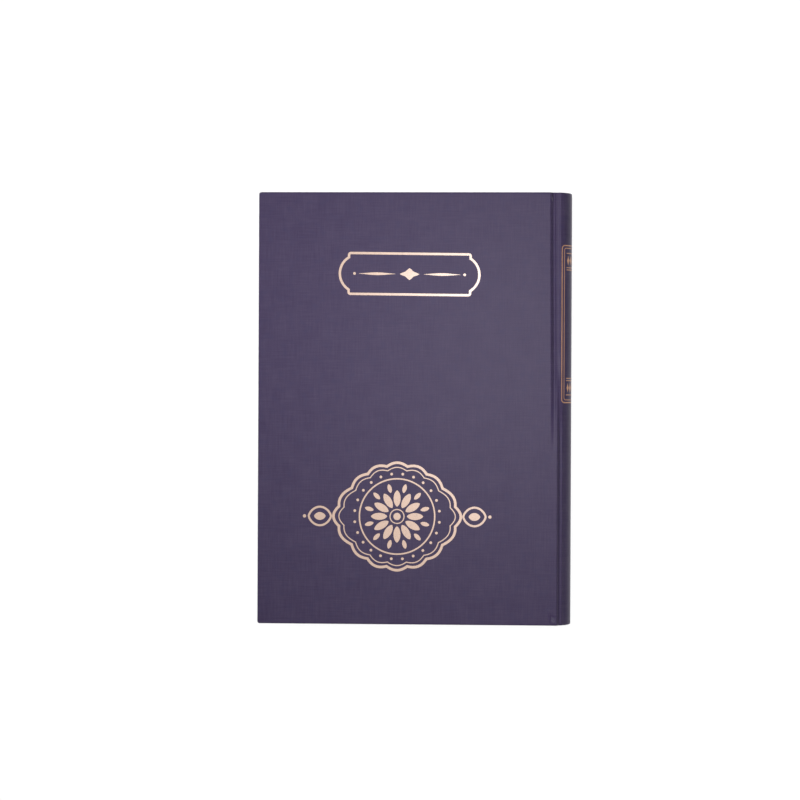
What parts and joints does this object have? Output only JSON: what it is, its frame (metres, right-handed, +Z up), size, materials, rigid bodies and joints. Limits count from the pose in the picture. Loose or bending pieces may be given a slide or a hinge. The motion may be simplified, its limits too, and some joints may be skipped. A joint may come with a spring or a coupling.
{
  "type": "ledger book",
  "caption": "Case-bound account book with cloth-covered boards, rounded sewn spine and sections of leaves; both covers open on cloth joints and the leaves turn with them.",
  "frame": {"origin": "middle of the footprint, on the surface that the closed book lies on", "axes": "+Z up from the back cover to the front cover, +Y from tail to head, +X from the fore-edge to the spine"},
  "size_m": [0.22, 0.303, 0.028],
  "materials": {
    "book_cloth": "satin",
    "greyboard": "matte",
    "spine_card": "matte",
    "gauze": "matte",
    "kraft_paper": "matte",
    "headband_silk": "satin",
    "linen_thread": "matte",
    "endsheet": "matte",
    "ledger_paper": "matte",
    "gold_foil": "satin"
  },
  "bodies": {
    "spine": {"spine_cloth": "book_cloth", "spine_card": "spine_card", "spine_lining": "kraft_paper", "spine_mull": "gauze", "head_headband": "headband_silk", "tail_headband": "headband_silk", "front_joint_cloth": "book_cloth", "back_joint_cloth": "book_cloth", "sewing_row_1": "linen_thread", "sewing_row_2": "linen_thread", "sewing_row_3": "linen_thread", "sewing_row_4": "linen_thread", "sewing_row_5": "linen_thread", "section_01_fold": "ledger_paper", "section_02_fold": "ledger_paper", "section_03_fold": "ledger_paper", "section_04_fold": "ledger_paper", "section_05_fold": "ledger_paper", "section_06_fold": "ledger_paper", "section_07_fold": "ledger_paper", "section_08_fold": "ledger_paper", "section_09_fold": "ledger_paper", "section_10_fold": "ledger_paper", "section_11_fold": "ledger_paper", "section_12_fold": "ledger_paper", "section_13_fold": "ledger_paper", "section_14_fold": "ledger_paper", "section_15_fold": "ledger_paper", "section_16_fold": "ledger_paper"},
    "front_cover": {"front_board": "greyboard", "front_cover_cloth": "book_cloth", "front_mull_flange": "gauze", "front_pastedown": "endsheet"},
    "front_flyleaf": {"front_flyleaf": "endsheet"},
    "back_cover": {"back_board": "greyboard", "back_cover_cloth": "book_cloth", "back_mull_flange": "gauze", "back_pastedown": "endsheet"},
    "back_flyleaf": {"back_flyleaf": "endsheet"},
    "section_01_leaves": {"section_01_leaves": "ledger_paper"},
    "section_02_leaves": {"section_02_leaves": "ledger_paper"},
    "section_03_leaves": {"section_03_leaves": "ledger_paper"},
    "section_04_leaves": {"section_04_leaves": "ledger_paper"},
    "section_05_leaves": {"section_05_leaves": "ledger_paper"},
    "section_06_leaves": {"section_06_leaves": "ledger_paper"},
    "section_07_leaves": {"section_07_leaves": "ledger_paper"},
    "section_08_leaves": {"section_08_leaves": "ledger_paper"},
    "section_09_leaves": {"section_09_leaves": "ledger_paper"},
    "section_10_leaves": {"section_10_leaves": "ledger_paper"},
    "section_11_leaves": {"section_11_leaves": "ledger_paper"},
    "section_12_leaves": {"section_12_leaves": "ledger_paper"},
    "section_13_leaves": {"section_13_leaves": "ledger_paper"},
    "section_14_leaves": {"section_14_leaves": "ledger_paper"},
    "section_15_leaves": {"section_15_leaves": "ledger_paper"},
    "section_16_leaves": {"section_16_leaves": "ledger_paper"}
  },
  "joints": [
    {"name": "front_cover_hinge", "type": "hinge", "parent": "spine", "child": "front_cover", "pos_m": [0.09735, 0, 0.0274], "axis": [0, 1, 0], "range_deg": [0, 180], "deforming": ["front_joint_cloth"]},
    {"name": "front_flyleaf_turn", "type": "hinge", "parent": "spine", "child": "front_flyleaf", "pos_m": [0.094, 0, 0.0239], "axis": [0, 1, 0], "range_deg": [0, 134]},
    {"name": "section_01_turn", "type": "hinge", "parent": "spine", "child": "section_01_leaves", "pos_m": [0.092, 0, 0.023], "axis": [0, 1, 0], "range_deg": [0, 126]},
    {"name": "section_02_turn", "type": "hinge", "parent": "spine", "child": "section_02_leaves", "pos_m": [0.08982, 0, 0.0218], "axis": [0, 1, 0], "range_deg": [0, 119]},
    {"name": "section_03_turn", "type": "hinge", "parent": "spine", "child": "section_03_leaves", "pos_m": [0.08793, 0, 0.0206], "axis": [0, 1, 0], "range_deg": [0, 112]},
    {"name": "section_04_turn", "type": "hinge", "parent": "spine", "child": "section_04_leaves", "pos_m": [0.08629, 0, 0.0194], "axis": [0, 1, 0], "range_deg": [0, 105]},
    {"name": "section_05_turn", "type": "hinge", "parent": "spine", "child": "section_05_leaves", "pos_m": [0.08486, 0, 0.0182], "axis": [0, 1, 0], "range_deg": [0, 98]},
    {"name": "section_06_turn", "type": "hinge", "parent": "spine", "child": "section_06_leaves", "pos_m": [0.08361, 0, 0.017], "axis": [0, 1, 0], "range_deg": [0, 91]},
    {"name": "section_07_turn", "type": "hinge", "parent": "spine", "child": "section_07_leaves", "pos_m": [0.08251, 0, 0.0158], "axis": [0, 1, 0], "range_deg": [0, 84]},
    {"name": "section_08_turn", "type": "hinge", "parent": "spine", "child": "section_08_leaves", "pos_m": [0.08155, 0, 0.0146], "axis": [0, 1, 0], "range_deg": [0, 77]},
    {"name": "back_cover_hinge", "type": "hinge", "parent": "spine", "child": "back_cover", "pos_m": [0.09735, 0, 0.0006], "axis": [0, -1, 0], "range_deg": [0, 180], "deforming": ["back_joint_cloth"]},
    {"name": "back_flyleaf_turn", "type": "hinge", "parent": "spine", "child": "back_flyleaf", "pos_m": [0.094, 0, 0.0041], "axis": [0, -1, 0], "range_deg": [0, 134]},
    {"name": "section_16_turn", "type": "hinge", "parent": "spine", "child": "section_16_leaves", "pos_m": [0.092, 0, 0.005], "axis": [0, -1, 0], "range_deg": [0, 126]},
    {"name": "section_15_turn", "type": "hinge", "parent": "spine", "child": "section_15_leaves", "pos_m": [0.08982, 0, 0.0062], "axis": [0, -1, 0], "range_deg": [0, 119]},
    {"name": "section_14_turn", "type": "hinge", "parent": "spine", "child": "section_14_leaves", "pos_m": [0.08793, 0, 0.0074], "axis": [0, -1, 0], "range_deg": [0, 112]},
    {"name": "section_13_turn", "type": "hinge", "parent": "spine", "child": "section_13_leaves", "pos_m": [0.08629, 0, 0.0086], "axis": [0, -1, 0], "range_deg": [0, 105]},
    {"name": "section_12_turn", "type": "hinge", "parent": "spine", "child": "section_12_leaves", "pos_m": [0.08486, 0, 0.0098], "axis": [0, -1, 0], "range_deg": [0, 98]},
    {"name": "section_11_turn", "type": "hinge", "parent": "spine", "child": "section_11_leaves", "pos_m": [0.08361, 0, 0.011], "axis": [0, -1, 0], "range_deg": [0, 91]},
    {"name": "section_10_turn", "type": "hinge", "parent": "spine", "child": "section_10_leaves", "pos_m": [0.08251, 0, 0.0122], "axis": [0, -1, 0], "range_deg": [0, 84]},
    {"name": "section_09_turn", "type": "hinge", "parent": "spine", "child": "section_09_leaves", "pos_m": [0.08155, 0, 0.0134], "axis": [0, -1, 0], "range_deg": [0, 77]}
  ],
  "couplings": [
    {"joint": "front_flyleaf_turn", "follows": "front_cover_hinge", "ratio": 0.7389},
    {"joint": "section_01_turn", "follows": "front_cover_hinge", "ratio": 0.6944},
    {"joint": "section_02_turn", "follows": "front_cover_hinge", "ratio": 0.6556},
    {"joint": "section_03_turn", "follows": "front_cover_hinge", "ratio": 0.6167},
    {"joint": "section_04_turn", "follows": "front_cover_hinge", "ratio": 0.5778},
    {"joint": "section_05_turn", "follows": "front_cover_hinge", "ratio": 0.5389},
    {"joint": "section_06_turn", "follows": "front_cover_hinge", "ratio": 0.5},
    {"joint": "section_07_turn", "follows": "front_cover_hinge", "ratio": 0.4611},
    {"joint": "section_08_turn", "follows": "front_cover_hinge", "ratio": 0.4222},
    {"joint": "back_flyleaf_turn", "follows": "back_cover_hinge", "ratio": 0.7389},
    {"joint": "section_16_turn", "follows": "back_cover_hinge", "ratio": 0.6944},
    {"joint": "section_15_turn", "follows": "back_cover_hinge", "ratio": 0.6556},
    {"joint": "section_14_turn", "follows": "back_cover_hinge", "ratio": 0.6167},
    {"joint": "section_13_turn", "follows": "back_cover_hinge", "ratio": 0.5778},
    {"joint": "section_12_turn", "follows": "back_cover_hinge", "ratio": 0.5389},
    {"joint": "section_11_turn", "follows": "back_cover_hinge", "ratio": 0.5},
    {"joint": "section_10_turn", "follows": "back_cover_hinge", "ratio": 0.4611},
    {"joint": "section_09_turn", "follows": "back_cover_hinge", "ratio": 0.4222}
  ]
}
